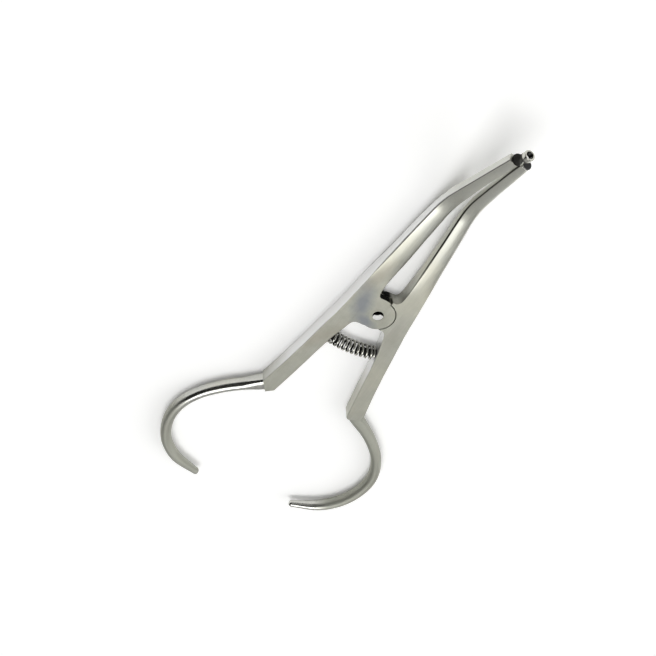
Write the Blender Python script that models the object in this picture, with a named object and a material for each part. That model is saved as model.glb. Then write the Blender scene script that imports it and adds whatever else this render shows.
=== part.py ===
"""Reverse-action pliers with open finger hooks.

Two arms lie side by side and meet in a half-thickness lap joint, so squeezing
the handles opens the jaws.  A coil spring between the handles holds them shut.
Units are millimetres until a mesh is written, where they become metres.
+Y runs from the finger hooks to the jaw tips, +Z is up, the underside of the
arms is z = 0 and the origin is the middle of the footprint.
"""
import math

import bmesh
import bpy
from mathutils import Matrix, Vector

# ---------------------------------------------------------------- dimensions
MM = 0.001
PIVOT_Y = 8.3            # pivot axis ahead of the middle of the footprint
GAP = 0.3                # clearance left between neighbouring pieces
T = 4.7                  # arm thickness
RELIEF = 0.02            # hub plates sit this far inside the arm faces

# plan stations of one arm, measured from the pivot: y, inner x, outer x
HANDLE_STATIONS = (
    (-38.0, 12.05, 17.15),
    (-28.0, 10.30, 15.20),
    (-19.0, 8.75, 13.50),
    (-12.0, 7.35, 12.35),
    (-8.8, 6.40, 11.80),
)
HUB_STATIONS = (
    (-6.2, 5.80, 11.32),
    (-4.0, 5.60, 10.92),
    (0.0, 5.60, 10.38),
    (4.0, 5.60, 9.93),
    (7.0, 4.30, 9.55),
)
SHANK_STATIONS = (       # y, inner x, outer x, thickness
    (9.0, 3.66, 9.30, 4.70),
    (13.5, 3.50, 8.80, 4.70),
    (18.5, 3.20, 8.20, 4.65),
    (24.0, 2.85, 7.55, 4.60),
    (29.0, 2.55, 6.98, 4.50),
    (34.0, 2.15, 6.32, 4.30),
    (38.0, 1.88, 5.80, 3.85),
)
BEND_Y = 41.5            # where the upper faces of shank and jaw would meet
BEND_ANGLE = math.radians(28.1)
BEND_HALF = 4.2          # tangent length of the bend
JAW_STATIONS = (         # y, inner x, outer x, thickness
    (41.5, 1.55, 5.42, 3.10),
    (46.0, 1.15, 5.00, 2.65),
    (51.0, 0.78, 4.50, 2.50),
    (56.0, 0.50, 4.05, 2.42),
    (60.0, 0.30, 3.65, 2.35),
    (65.0, 0.17, 3.15, 2.25),
)
LEFT_JAW_END_Y = 63.8
RIGHT_JAW_END_Y = 63.6

EDGE_R = 0.35            # broken edge of the handles
HUB_EDGE_R = 0.15        # edge beside the lap joint
# corner radii as (top outer, top inner, bottom inner, bottom outer)
LEFT_SHANK_R = (0.50, 1.20, 1.80, 1.70)
RIGHT_SHANK_R = (1.20, 0.45, 2.20, 1.50)
LEFT_JAW_R = (0.25, 0.30, 0.60, 0.45)
RIGHT_JAW_R = (1.05, 0.35, 0.80, 0.70)
LEFT_CROWN = (0.32, 0.10)    # doming of the upper face, shank and jaw
RIGHT_CROWN = (0.36, 0.30)
LEFT_JAW_TRIM = 0.30         # the left jaw is this much narrower outside
LEFT_SWELL = (0.95, 0.0)     # extra width of the shank, inner and outer
RIGHT_SWELL = (0.0, 0.35)

# handle end, where the finger hook is welded on
# (inner corner, outer corner, seam inner end, seam outer end)
LEFT_END = ((12.35, -39.10), (16.95, -36.00), (14.55, -40.75), (17.25, -36.95))
RIGHT_END = ((12.25, -38.85), (17.15, -36.75), (12.75, -39.45), (17.15, -38.05))

# lap joint
DISC_R = 4.9
RIVET_R = 2.1
RIVET_CLEAR = 0.08       # running clearance round the rivet
RIVET_BORE_R = 1.55
WEB_TOP_Y = 5.75
WEB_TOP_X = 0.95

# finger hook: centre line from the pivot after the seam; width and height from the seam
HOOK_LINE = (
    (20.25, -42.1), (25.35, -46.0), (30.3, -51.2),
    (33.65, -57.3), (34.75, -63.4), (33.7, -69.9), (30.7, -75.8),
    (25.4, -80.6), (17.4, -83.8),
)
HOOK_WIDTH = (4.40, 3.75, 3.50, 3.40, 3.45, 3.45, 3.40, 3.30, 3.10, 2.20)
HOOK_HEIGHT = (4.60, 4.40, 4.35, 4.30, 4.30, 4.25, 4.20, 4.10, 3.80, 2.40)
HOOK_SIDES = 20
HOOK_STEPS = 4

# return spring between the handles
SPRING_Y = -14.2
SPRING_HALF = 7.15
SPRING_OD = 4.4
SPRING_WIRE = 0.62
SPRING_TURNS = 11
SPRING_STEPS = 18
STUD_R = 1.1
LEFT_STUD_OUT = 3.8
RIGHT_STUD_OUT = 5.0
STUD_IN = 1.9

# jaw tip pieces, measured along and across the bent jaw
TUBE_R = 1.46
TUBE_HOLE_R = 0.92
TUBE_START = 2.2
TUBE_END = 4.0
TUBE_X = 0.0
TUBE_DROP = 0.95
NUB_R = 1.12
NUB_LENGTH = 1.25
NUB_X = 1.66
NUB_DROP = 0.40
NUB_SLANT = 0.32         # lean of the end face, as a slope

STEEL = (0.56, 0.56, 0.53, 1.0)
POLISHED = (0.42, 0.42, 0.41, 1.0)
SPRING_STEEL = (0.35, 0.35, 0.34, 1.0)


# ------------------------------------------------------------------- helpers
def clear_scene():
    for obj in list(bpy.data.objects):
        bpy.data.objects.remove(obj, do_unlink=True)


def material(name, colour, roughness):
    mat = bpy.data.materials.new(name)
    mat.use_nodes = True
    bsdf = mat.node_tree.nodes["Principled BSDF"]
    bsdf.inputs["Base Color"].default_value = colour
    bsdf.inputs["Metallic"].default_value = 1.0
    bsdf.inputs["Roughness"].default_value = roughness
    mat.diffuse_color = colour
    return mat


def to_world(p):
    return (p[0] * MM, (p[1] + PIVOT_Y) * MM, p[2] * MM)


def new_object(name, bm):
    bmesh.ops.recalc_face_normals(bm, faces=bm.faces)
    bmesh.ops.triangulate(bm, faces=[f for f in bm.faces if len(f.verts) > 4])
    mesh = bpy.data.meshes.new(name)
    bm.to_mesh(mesh)
    bm.free()
    obj = bpy.data.objects.new(name, mesh)
    bpy.context.scene.collection.objects.link(obj)
    return obj


def loft(name, rings, closed=False):
    """Skin a list of equal rings of 3-D points; open ends are capped."""
    bm = bmesh.new()
    rows = [[bm.verts.new(to_world(p)) for p in ring] for ring in rings]
    count = len(rows[0])
    last = len(rows) if closed else len(rows) - 1
    for i in range(last):
        a, b = rows[i], rows[(i + 1) % len(rows)]
        for j in range(count):
            k = (j + 1) % count
            bm.faces.new((a[j], a[k], b[k], b[j]))
    if not closed:
        bm.faces.new(rows[0])
        bm.faces.new(rows[-1])
    return new_object(name, bm)


def prism(name, outline, z0, z1):
    return loft(name, [[(x, y, z) for x, y in outline] for z in (z0, z1)])


def cylinder(name, centre, axis, radius, start, end, sides=48):
    """Cylinder from centre + axis*start to centre + axis*end."""
    axis = Vector(axis).normalized()
    side = axis.orthogonal().normalized()
    up = axis.cross(side)
    centre = Vector(centre)
    rings = []
    for d in (start, end):
        rings.append([tuple(centre + axis * d + (side * math.cos(a) + up * math.sin(a)) * radius)
                      for a in (2 * math.pi * i / sides for i in range(sides))])
    return loft(name, rings)


def combine(target, tool, operation):
    """Boolean the tool into the target and remove the tool."""
    mod = target.modifiers.new("cut", "BOOLEAN")
    mod.object = tool
    mod.operation = operation
    mod.solver = "EXACT"
    graph = bpy.context.evaluated_depsgraph_get()
    mesh = bpy.data.meshes.new_from_object(target.evaluated_get(graph))
    target.modifiers.clear()
    target.data = mesh
    bpy.data.objects.remove(tool, do_unlink=True)


def tidy(obj, mat):
    bm = bmesh.new()
    bm.from_mesh(obj.data)
    bmesh.ops.remove_doubles(bm, verts=bm.verts, dist=0.000002)
    bmesh.ops.dissolve_degenerate(bm, edges=bm.edges, dist=0.000002)
    bmesh.ops.triangulate(bm, faces=[f for f in bm.faces if len(f.verts) > 4])
    bmesh.ops.recalc_face_normals(bm, faces=bm.faces)
    bm.to_mesh(obj.data)
    bm.free()
    obj.data.name = obj.name
    obj.data.materials.clear()
    obj.data.materials.append(mat)


def catmull(points, steps):
    """Smooth curve through points, steps pieces per span."""
    pts = [Vector(p) for p in points]
    pts = [pts[0] * 2 - pts[1]] + pts + [pts[-1] * 2 - pts[-2]]
    out = []
    for i in range(1, len(pts) - 2):
        p0, p1, p2, p3 = pts[i - 1:i + 3]
        for k in range(steps):
            t = k / steps
            out.append(0.5 * ((2 * p1) + (p2 - p0) * t + (2 * p0 - 5 * p1 + 4 * p2 - p3) * t * t
                              + (3 * p1 - p0 - 3 * p2 + p3) * t ** 3))
    out.append(pts[-2])
    return out


def rounded_section(width, depth, radii, crown=0.0, segs=6, top=4):
    """Rounded rectangle, u in 0..width from the inner side, v in -depth..0.

    The upper face is crowned: its edges lie `crown` below its middle.
    """
    r1, r2, r3, r4 = (min(r, width * 0.48, depth * 0.48) for r in radii)
    pts = []
    corners = ((width - r1, -r1, r1, 0.0), (r2, -r2, r2, 90.0),
               (r3, -depth + r3, r3, 180.0), (width - r4, -depth + r4, r4, 270.0))
    for n, (cu, cv, r, start) in enumerate(corners):
        for i in range(segs + 1):
            a = math.radians(start + 90.0 * i / segs)
            pts.append((cu + r * math.cos(a), cv + r * math.sin(a)))
        if n == 0:
            first, last = width - r1, r2
            pts += [(first + (last - first) * i / (top + 1), 0.0) for i in range(1, top + 1)]
    return [(u, v - crown * (2 * u / width - 1) ** 2 * (1 + v / depth)) for u, v in pts]


# ---------------------------------------------------------------- arm bodies
def top_line(s):
    """Point (y, z) and upward normal of the upper face at plan distance s."""
    start = BEND_Y - BEND_HALF
    radius = BEND_HALF / math.tan(BEND_ANGLE / 2)
    if s <= start:
        return s, T, 0.0
    end = BEND_Y + BEND_HALF * math.cos(BEND_ANGLE)
    if s >= end:
        return s, T + (s - BEND_Y) * math.tan(BEND_ANGLE), BEND_ANGLE
    a = math.asin(min(1.0, (s - start) / radius))
    return s, T + radius * (1 - math.cos(a)), a


def blend(rows, y):
    """Linear interpolation of a station table at y."""
    if y <= rows[0][0]:
        return rows[0][1:]
    for a, b in zip(rows, rows[1:]):
        if y <= b[0]:
            t = (y - a[0]) / (b[0] - a[0])
            return tuple(p + (q - p) * t for p, q in zip(a[1:], b[1:]))
    return rows[-1][1:]


def smooth(t):
    t = max(0.0, min(1.0, t))
    return t * t * (3 - 2 * t)


def mix(a, b, t):
    return tuple(p + (q - p) * t for p, q in zip(a, b))


def arm_rings(side, jaw_end):
    shank_r, jaw_r, swell, dome = (
        (LEFT_SHANK_R, LEFT_JAW_R, LEFT_SWELL, LEFT_CROWN) if side < 0
        else (RIGHT_SHANK_R, RIGHT_JAW_R, RIGHT_SWELL, RIGHT_CROWN))
    rings = []

    def flat_ring(inner, outer, radius):
        inner, outer = Vector(inner), Vector(outer)
        d = (outer - inner)
        width = d.length
        d.normalize()
        return [(side * (inner.x + d.x * u), inner.y + d.y * u, T + v)
                for u, v in rounded_section(width, T, (radius,) * 4)]

    corner_in, corner_out, seam_in, seam_out = LEFT_END if side < 0 else RIGHT_END
    rings.append(flat_ring(seam_in, seam_out, EDGE_R))
    rings.append(flat_ring(corner_in, corner_out, EDGE_R))
    for y, xi, xo in HANDLE_STATIONS[1:]:
        rings.append(flat_ring((xi, y - 0.6 * (xo - xi) * 0.2), (xo, y), EDGE_R))
    for y, xi, xo in HUB_STATIONS:
        rings.append(flat_ring((xi, y), (xo, y), HUB_EDGE_R))
    rows = SHANK_STATIONS + JAW_STATIONS
    start = SHANK_STATIONS[0][0]
    ys = [start + 1.5 * i for i in range(19)]
    ys += [BEND_Y - BEND_HALF + 0.9 * i for i in range(10)]
    ys += [BEND_Y + BEND_HALF + 2.2 + 2.2 * i for i in range(8)]
    ys = [y for y in ys if y < jaw_end - 0.8] + [jaw_end]
    for y in ys:
        xi, xo, thick = blend(rows, y)
        y_, z, a = top_line(y)
        rise = smooth((y - start) / 12.0)
        fall = smooth((y - (BEND_Y - 5.0)) / 10.0)
        radii = mix(mix((HUB_EDGE_R,) * 4, shank_r, rise), jaw_r, fall)
        swollen = rise * (1 - smooth((y - (BEND_Y - 3.0)) / 15.0))
        crown = rise * (dome[0] + (dome[1] - dome[0]) * fall)
        if side < 0:
            xo -= LEFT_JAW_TRIM * fall
        xi -= swell[0] * swollen
        xo += swell[1] * swollen
        normal = (-math.sin(a), math.cos(a))
        rings.append([(side * (xi + u), y_ + normal[0] * v, z + normal[1] * v)
                      for u, v in rounded_section(xo - xi, thick, radii, crown)])
    return rings


def arc(radius, start_deg, end_deg, steps):
    return [(radius * math.cos(math.radians(start_deg + (end_deg - start_deg) * i / steps)),
             radius * math.sin(math.radians(start_deg + (end_deg - start_deg) * i / steps)))
            for i in range(steps + 1)]


def own_plate(side):
    """Outline of the half-thickness plate that carries the arm's own disc."""
    pts = [(7.2, 9.6), (3.62, 9.6), (3.60, 8.0), (3.45, 6.9), (3.15, 6.2), (2.6, WEB_TOP_Y + 0.05),
           (1.1, WEB_TOP_Y), (-0.3, WEB_TOP_Y - 0.1), (-WEB_TOP_X, WEB_TOP_Y - 0.45)]
    pts += arc(DISC_R, 103.0, 253.0, 30)
    pts += arc(DISC_R, 253.0, 287.0, 6)[1:]
    pts += [(2.4, -4.78), (3.75, -4.70), (4.75, -4.95), (5.35, -5.5), (5.80, -6.6), (6.30, -8.6),
            (7.2, -9.4)]
    return [(side * x, y) for x, y in pts]


def facing_plate(side):
    """Outline of the plate beside the other arm's disc, before it is bored."""
    pts = [(7.2, 9.6), (3.62, 9.6), (3.62, 8.0), (3.40, 7.0), (2.95, 6.35), (2.4, 6.0), (1.36, 5.85),
           (1.30, 4.9), (2.0, 2.0), (2.0, -2.0), (2.3, -4.35), (3.6, -4.28), (4.45, -4.45),
           (5.05, -4.9), (5.42, -5.7), (5.80, -6.9), (6.30, -8.6), (7.2, -9.4)]
    return [(side * x, y) for x, y in pts]


def spring_axis(x):
    """Centre line of the return spring: y and slope at x."""
    bow = 0.112 * SPRING_HALF
    return SPRING_Y - bow * (1 - (x / SPRING_HALF) ** 2), 2 * bow * x / SPRING_HALF ** 2


def stud_frame(side):
    """Middle of the handle wall where a spring stud is seated, and its axis."""
    y, slope = spring_axis(side * SPRING_HALF)
    axis = Vector((-side, -abs(slope), 0.0)).normalized()
    return Vector((side * (SPRING_HALF + GAP + SPRING_WIRE / 2), y + 0.1, T / 2)), axis


def build_arm(name, side, jaw_end, disc_on_top, mat):
    arm = loft(name, arm_rings(side, jaw_end))
    half = T / 2
    low = (RELIEF, half - GAP / 2)
    high = (half + GAP / 2, T - RELIEF)
    own, facing = (high, low) if disc_on_top else (low, high)
    # a full-height strip under the plates keeps both layers on one core
    combine(arm, prism("own_plate", own_plate(side), *own), "UNION")
    overlap = (facing[0] - GAP, facing[1]) if facing is high else (facing[0], facing[1] + GAP)
    plate = prism("facing_plate", facing_plate(side), *overlap)
    cut = (-1.0, half + GAP / 2) if facing is low else (half - GAP / 2, T + 1.0)
    bore = cylinder("bore", (0, 0, 0), (0, 0, 1), DISC_R + GAP, cut[0], cut[1], 72)
    combine(plate, bore, "DIFFERENCE")
    combine(arm, plate, "UNION")
    bore = cylinder("bore", (0, 0, 0), (0, 0, 1), DISC_R + GAP, cut[0], cut[1], 72)
    combine(arm, bore, "DIFFERENCE")
    hole = cylinder("hole", (0, 0, 0), (0, 0, 1), RIVET_R + RIVET_CLEAR, -1.0, T + 1.0, 48)
    combine(arm, hole, "DIFFERENCE")
    centre, axis = stud_frame(side)
    seat = cylinder("seat", centre, axis, STUD_R + GAP, -STUD_IN - GAP, 1.5, 32)
    combine(arm, seat, "DIFFERENCE")
    tidy(arm, mat)
    return arm


# --------------------------------------------------------------- finger hook
def build_hook(name, side, mat):
    seam_in, seam_out = (Vector(p + (0.0,)) for p in (LEFT_END if side < 0 else RIGHT_END)[2:])
    line = catmull([(seam_in + seam_out) / 2] + [(x, y, 0.0) for x, y in HOOK_LINE], HOOK_STEPS)
    sizes = catmull([(w, h, 0.0) for w, h in zip(HOOK_WIDTH, HOOK_HEIGHT)], HOOK_STEPS)
    seam = (seam_out - seam_in).normalized()
    rings = []
    total = len(line) - 1
    offset = Vector((seam.y, -seam.x, 0.0)) * GAP
    for i, p in enumerate(line):
        ahead = (line[min(i + 1, total)] - line[max(i - 1, 0)]).normalized()
        across = Vector((-ahead.y, ahead.x, 0.0))
        if i < 4:
            across = (seam * (1 - i / 4) + across * (i / 4)).normalized()
        if i == 0:
            p = p + offset
        width, height = sizes[i].x, sizes[i].y
        power = 3.2 - 1.15 * smooth(i / (1.25 * HOOK_STEPS))
        ring = []
        for k in range(HOOK_SIDES):
            a = 2 * math.pi * (k + 0.5) / HOOK_SIDES
            c, s = math.cos(a), math.sin(a)
            u = math.copysign(abs(c) ** (2 / power), c) * width / 2
            v = math.copysign(abs(s) ** (2 / power), s) * height / 2
            q = p + across * u
            ring.append((side * q.x, q.y, T / 2 + v))
        rings.append(ring)
    # domed end
    ahead = (line[-1] - line[-2]).normalized()
    base = rings[-1]
    centre = Vector((side * line[-1].x, line[-1].y, T / 2))
    push = Vector((side * ahead.x, ahead.y, 0.0))
    for a in (25, 50, 72):
        t = math.radians(a)
        rings.append([tuple(centre + (Vector(q) - centre) * math.cos(t) + push * math.sin(t) * 1.0)
                      for q in base])
    hook = loft(name, rings)
    tidy(hook, mat)
    return hook


# --------------------------------------------------------- rivet and spring
def build_rivet(mat):
    """Flush tubular rivet, bored right through."""
    sides = 48
    profile = [(RIVET_R, 0.03), (RIVET_R, T - 0.03),
               (RIVET_BORE_R + 0.12, T - 0.03),
               (RIVET_BORE_R, T - 0.2), (RIVET_BORE_R, 0.2), (RIVET_BORE_R + 0.12, 0.03)]
    rings = [[(r * math.cos(a), r * math.sin(a), z) for r, z in profile]
             for a in (2 * math.pi * i / sides for i in range(sides))]
    rivet = loft("pivot_rivet", rings, closed=True)
    tidy(rivet, mat)
    return rivet


def build_spring(mat):
    radius = (SPRING_OD - SPRING_WIRE) / 2
    wire = SPRING_WIRE / 2
    count = SPRING_TURNS * SPRING_STEPS
    centres = []
    for i in range(count + 1):
        turn = i / SPRING_STEPS
        # close-wound first and last three quarters of a turn
        lead = 0.75
        pitch_end = SPRING_WIRE * 1.08
        if turn < lead:
            along = pitch_end * turn
        elif turn > SPRING_TURNS - lead:
            along = 2 * SPRING_HALF - pitch_end * (SPRING_TURNS - turn)
        else:
            t = (turn - lead) / (SPRING_TURNS - 2 * lead)
            along = pitch_end * lead + (2 * SPRING_HALF - 2 * pitch_end * lead) * t
        x = -SPRING_HALF + along
        y, slope = spring_axis(x)
        tangent = Vector((1.0, slope, 0.0)).normalized()
        side = Vector((-tangent.y, tangent.x, 0.0))
        a = 2 * math.pi * turn + math.pi / 2
        centres.append(Vector((x, y, T / 2)) + side * math.cos(a) * radius
                       + Vector((0, 0, 1)) * math.sin(a) * radius)
    rings = []
    for i, p in enumerate(centres):
        ahead = (centres[min(i + 1, count)] - centres[max(i - 1, 0)]).normalized()
        x = p.x
        y, _ = spring_axis(x)
        out = (p - Vector((x, y, T / 2)))
        out = (out - ahead * out.dot(ahead)).normalized()
        other = ahead.cross(out)
        rings.append([tuple(p + (out * math.cos(b) + other * math.sin(b)) * wire)
                      for b in (2 * math.pi * k / 8 for k in range(8))])
    spring = loft("return_spring", rings)
    tidy(spring, mat)
    return spring


def build_stud(name, side, mat):
    """Pin seated in the handle that keeps the end coils in place."""
    centre, axis = stud_frame(side)
    across = axis.orthogonal().normalized()
    up = axis.cross(across)
    rings = []
    out = LEFT_STUD_OUT if side < 0 else RIGHT_STUD_OUT
    for d, r in ((-STUD_IN, STUD_R), (out - 0.35, STUD_R), (out, STUD_R - 0.3)):
        rings.append([tuple(centre + axis * d + (across * math.cos(a) + up * math.sin(a)) * r)
                      for a in (2 * math.pi * i / 24 for i in range(24))])
    stud = loft(name, rings)
    tidy(stud, mat)
    return stud


# ----------------------------------------------------------------- jaw tips
def jaw_frame(jaw_end):
    y, z, a = top_line(jaw_end)
    along = Vector((0.0, math.cos(a), math.sin(a)))
    up = Vector((0.0, -math.sin(a), math.cos(a)))
    return Vector((0.0, y, z)), along, up


def build_eyelet(mat):
    """Tapered neck that carries a short open tube beyond the left jaw."""
    origin, along, up = jaw_frame(LEFT_JAW_END_Y)
    across = Vector((1.0, 0.0, 0.0))
    sides = 24
    rings = []
    # distance, centre x, half width, half height, drop below the upper face
    neck = ((GAP, -1.10, 1.18, 1.44, 0.92), (GAP + 0.15, -1.10, 1.32, 1.58, 0.91),
            (0.65, -1.10, 1.34, 1.60, 0.91), (1.00, -1.07, 1.22, 1.46, 0.92),
            (1.35, -1.03, 1.00, 1.20, 0.93), (1.75, -1.03, 0.76, 0.94, 0.94),
            (2.15, -1.08, 0.50, 0.72, 0.95), (2.6, -1.13, 0.36, 0.58, 0.95),
            (3.4, -1.18, 0.22, 0.46, 0.95))
    for d, x, w, h, drop in neck:
        c = origin + along * d + up * -drop + across * x
        rings.append([tuple(c + across * w * math.cos(a) + up * h * math.sin(a))
                      for a in (2 * math.pi * i / sides for i in range(sides))])
    piece = loft("left_jaw_eyelet", rings)
    centre = origin + up * -TUBE_DROP + across * TUBE_X
    c = 0.14
    profile = ((TUBE_R - c, TUBE_END), (TUBE_R, TUBE_END - c), (TUBE_R, TUBE_START + c),
               (TUBE_R - c, TUBE_START), (TUBE_HOLE_R + c, TUBE_START),
               (TUBE_HOLE_R, TUBE_START + c), (TUBE_HOLE_R, TUBE_END - c),
               (TUBE_HOLE_R + c, TUBE_END))
    tube = loft("tube", [[tuple(centre + (up * math.cos(a) + across * math.sin(a)) * r + along * d)
                          for r, d in profile]
                         for a in (2 * math.pi * i / 40 for i in range(40))], closed=True)
    combine(piece, tube, "UNION")
    tidy(piece, mat)
    return piece


def build_nub(mat):
    """Short round peg with a flat, slightly slanted end on the right jaw."""
    origin, along, up = jaw_frame(RIGHT_JAW_END_Y)
    across = Vector((1.0, 0.0, 0.0))
    base = origin + across * NUB_X + up * -NUB_DROP
    profile = [(GAP, NUB_R * 0.86), (GAP + 0.25, NUB_R * 0.86), (GAP + 0.45, NUB_R)]
    for a in (0, 30, 60, 90):
        turn = math.radians(a)
        profile.append((NUB_LENGTH - 0.24 + 0.24 * math.sin(turn), NUB_R - 0.24 + 0.24 * math.cos(turn)))
    rings = []
    for d, r in profile:
        slant = NUB_SLANT * smooth((d - 0.55) / 0.5)
        rings.append([tuple(base + along * (d - slant * r * math.sin(a))
                            + (across * math.cos(a) + up * math.sin(a) * 0.95) * r)
                      for a in (2 * math.pi * i / 28 for i in range(28))])
    nub = loft("right_jaw_nub", rings)
    tidy(nub, mat)
    return nub


# ------------------------------------------------------------------ assembly
def origin_on_pivot(*objects):
    """Keep the shape where it is and put each origin on the pivot axis."""
    pivot = Vector(to_world((0.0, 0.0, 0.0)))
    for obj in objects:
        obj.data.transform(Matrix.Translation(-pivot))
        obj.location = pivot


def main():
    clear_scene()
    left_steel = material("left_arm_steel", STEEL, 0.36)
    right_steel = material("right_arm_steel", STEEL, 0.36)
    left_hook = material("left_hook_steel", POLISHED, 0.25)
    right_hook = material("right_hook_steel", POLISHED, 0.25)
    rivet_steel = material("rivet_steel", STEEL, 0.30)
    spring_steel = material("spring_wire_steel", SPRING_STEEL, 0.28)
    left_stud = material("left_stud_steel", SPRING_STEEL, 0.30)
    right_stud = material("right_stud_steel", SPRING_STEEL, 0.30)
    eyelet_steel = material("eyelet_steel", POLISHED, 0.25)
    nub_steel = material("nub_steel", POLISHED, 0.25)

    build_arm("left_arm", -1, LEFT_JAW_END_Y, True, left_steel)
    right_arm = build_arm("right_arm", 1, RIGHT_JAW_END_Y, False, right_steel)
    build_hook("left_finger_hook", -1, left_hook)
    right_finger_hook = build_hook("right_finger_hook", 1, right_hook)
    build_rivet(rivet_steel)
    build_spring(spring_steel)
    build_stud("left_spring_stud", -1, left_stud)
    right_spring_stud = build_stud("right_spring_stud", 1, right_stud)
    build_eyelet(eyelet_steel)
    right_jaw_nub = build_nub(nub_steel)
    origin_on_pivot(right_arm, right_finger_hook, right_spring_stud, right_jaw_nub)


main()
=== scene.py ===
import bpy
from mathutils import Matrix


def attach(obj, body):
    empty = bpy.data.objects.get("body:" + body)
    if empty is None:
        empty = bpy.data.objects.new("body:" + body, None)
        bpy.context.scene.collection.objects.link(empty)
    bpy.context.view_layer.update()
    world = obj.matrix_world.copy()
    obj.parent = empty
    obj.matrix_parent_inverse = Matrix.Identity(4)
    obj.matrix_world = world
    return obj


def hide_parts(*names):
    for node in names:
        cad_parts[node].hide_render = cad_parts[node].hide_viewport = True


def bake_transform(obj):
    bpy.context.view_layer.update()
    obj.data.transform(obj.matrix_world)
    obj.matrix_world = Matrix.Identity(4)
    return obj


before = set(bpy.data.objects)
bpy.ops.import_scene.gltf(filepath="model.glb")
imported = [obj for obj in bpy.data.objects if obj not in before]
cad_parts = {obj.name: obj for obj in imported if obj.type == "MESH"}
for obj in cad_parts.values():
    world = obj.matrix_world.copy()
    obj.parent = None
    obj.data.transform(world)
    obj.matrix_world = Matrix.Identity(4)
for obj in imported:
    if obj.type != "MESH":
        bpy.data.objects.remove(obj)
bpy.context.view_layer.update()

# Finer visible meshes, finishes and a studio for the reverse-action pliers.
# Millimetres in the shape code, metres in the meshes.  Each visible piece but the spring
# rides the CAD body of the node that it stands for.
import math

import bmesh
import bpy
from mathutils import Matrix, Vector


# ----------------------------------------------------- sizes, as in the CAD
MM = 0.001
PIVOT_Y = 8.3            # pivot axis ahead of the middle of the footprint
GAP = 0.3                # clearance left between neighbouring pieces
T = 4.7                  # arm thickness
RELIEF = 0.02            # hub plates sit this far inside the arm faces

# plan stations of one arm, measured from the pivot: y, inner x, outer x
HANDLE_STATIONS = (
    (-38.0, 12.05, 17.15),
    (-28.0, 10.30, 15.20),
    (-19.0, 8.75, 13.50),
    (-12.0, 7.35, 12.35),
    (-8.8, 6.40, 11.80),
)
HUB_STATIONS = (
    (-6.2, 5.80, 11.32),
    (-4.0, 5.60, 10.92),
    (0.0, 5.60, 10.38),
    (4.0, 5.60, 9.93),
    (7.0, 4.30, 9.55),
)
SHANK_STATIONS = (       # y, inner x, outer x, thickness
    (9.0, 3.66, 9.30, 4.70),
    (13.5, 3.50, 8.80, 4.70),
    (18.5, 3.20, 8.20, 4.65),
    (24.0, 2.85, 7.55, 4.60),
    (29.0, 2.55, 6.98, 4.50),
    (34.0, 2.15, 6.32, 4.30),
    (38.0, 1.88, 5.80, 3.85),
)
BEND_Y = 41.5            # where the upper faces of shank and jaw would meet
BEND_ANGLE = math.radians(28.1)
BEND_HALF = 4.2          # tangent length of the bend
JAW_STATIONS = (         # y, inner x, outer x, thickness
    (41.5, 1.55, 5.42, 3.10),
    (46.0, 1.15, 5.00, 2.65),
    (51.0, 0.78, 4.50, 2.50),
    (56.0, 0.50, 4.05, 2.42),
    (60.0, 0.30, 3.65, 2.35),
    (65.0, 0.17, 3.15, 2.25),
)
LEFT_JAW_END_Y = 63.8
RIGHT_JAW_END_Y = 63.6

EDGE_R = 0.35            # broken edge of the handles
HUB_EDGE_R = 0.15        # edge beside the lap joint
# corner radii as (top outer, top inner, bottom inner, bottom outer)
LEFT_SHANK_R = (0.50, 1.20, 1.80, 1.70)
RIGHT_SHANK_R = (1.20, 0.45, 2.20, 1.50)
LEFT_JAW_R = (0.25, 0.30, 0.60, 0.45)
RIGHT_JAW_R = (1.05, 0.35, 0.80, 0.70)
LEFT_CROWN = (0.32, 0.10)    # doming of the upper face, shank and jaw
RIGHT_CROWN = (0.36, 0.30)
LEFT_JAW_TRIM = 0.30         # the left jaw is this much narrower outside
LEFT_SWELL = (0.95, 0.0)     # extra width of the shank, inner and outer
RIGHT_SWELL = (0.0, 0.35)

# handle end, where the finger hook is welded on
# (inner corner, outer corner, seam inner end, seam outer end)
LEFT_END = ((12.35, -39.10), (16.95, -36.00), (14.55, -40.75), (17.25, -36.95))
RIGHT_END = ((12.25, -38.85), (17.15, -36.75), (12.75, -39.45), (17.15, -38.05))

# lap joint
DISC_R = 4.9
RIVET_R = 2.1
RIVET_CLEAR = 0.08       # running clearance round the rivet
RIVET_BORE_R = 1.55
WEB_TOP_Y = 5.75
WEB_TOP_X = 0.95

# finger hook: centre line from the pivot after the seam; width and height from the seam
HOOK_LINE = (
    (20.25, -42.1), (25.35, -46.0), (30.3, -51.2),
    (33.65, -57.3), (34.75, -63.4), (33.7, -69.9), (30.7, -75.8),
    (25.4, -80.6), (17.4, -83.8),
)
HOOK_WIDTH = (4.40, 3.75, 3.50, 3.40, 3.45, 3.45, 3.40, 3.30, 3.10, 2.20)
HOOK_HEIGHT = (4.60, 4.40, 4.35, 4.30, 4.30, 4.25, 4.20, 4.10, 3.80, 2.40)
HOOK_SIDES = 56
HOOK_STEPS = 12

# return spring between the handles
SPRING_Y = -14.2
SPRING_HALF = 7.15
SPRING_OD = 4.4
SPRING_WIRE = 0.62
SPRING_TURNS = 11
SPRING_STEPS = 44
STUD_R = 1.1
LEFT_STUD_OUT = 3.8
RIGHT_STUD_OUT = 5.0
STUD_IN = 1.9

# jaw tip pieces, measured along and across the bent jaw
TUBE_R = 1.46
TUBE_HOLE_R = 0.92
TUBE_START = 2.2
TUBE_END = 4.0
TUBE_X = 0.0
TUBE_DROP = 0.95
NUB_R = 1.12
NUB_LENGTH = 1.25
NUB_X = 1.66
NUB_DROP = 0.40
NUB_SLANT = 0.32         # lean of the end face, as a slope
JOIN = 0.06              # joint line shown between welded pieces


def to_world(p):
    return (p[0] * MM, (p[1] + PIVOT_Y) * MM, p[2] * MM)


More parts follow.
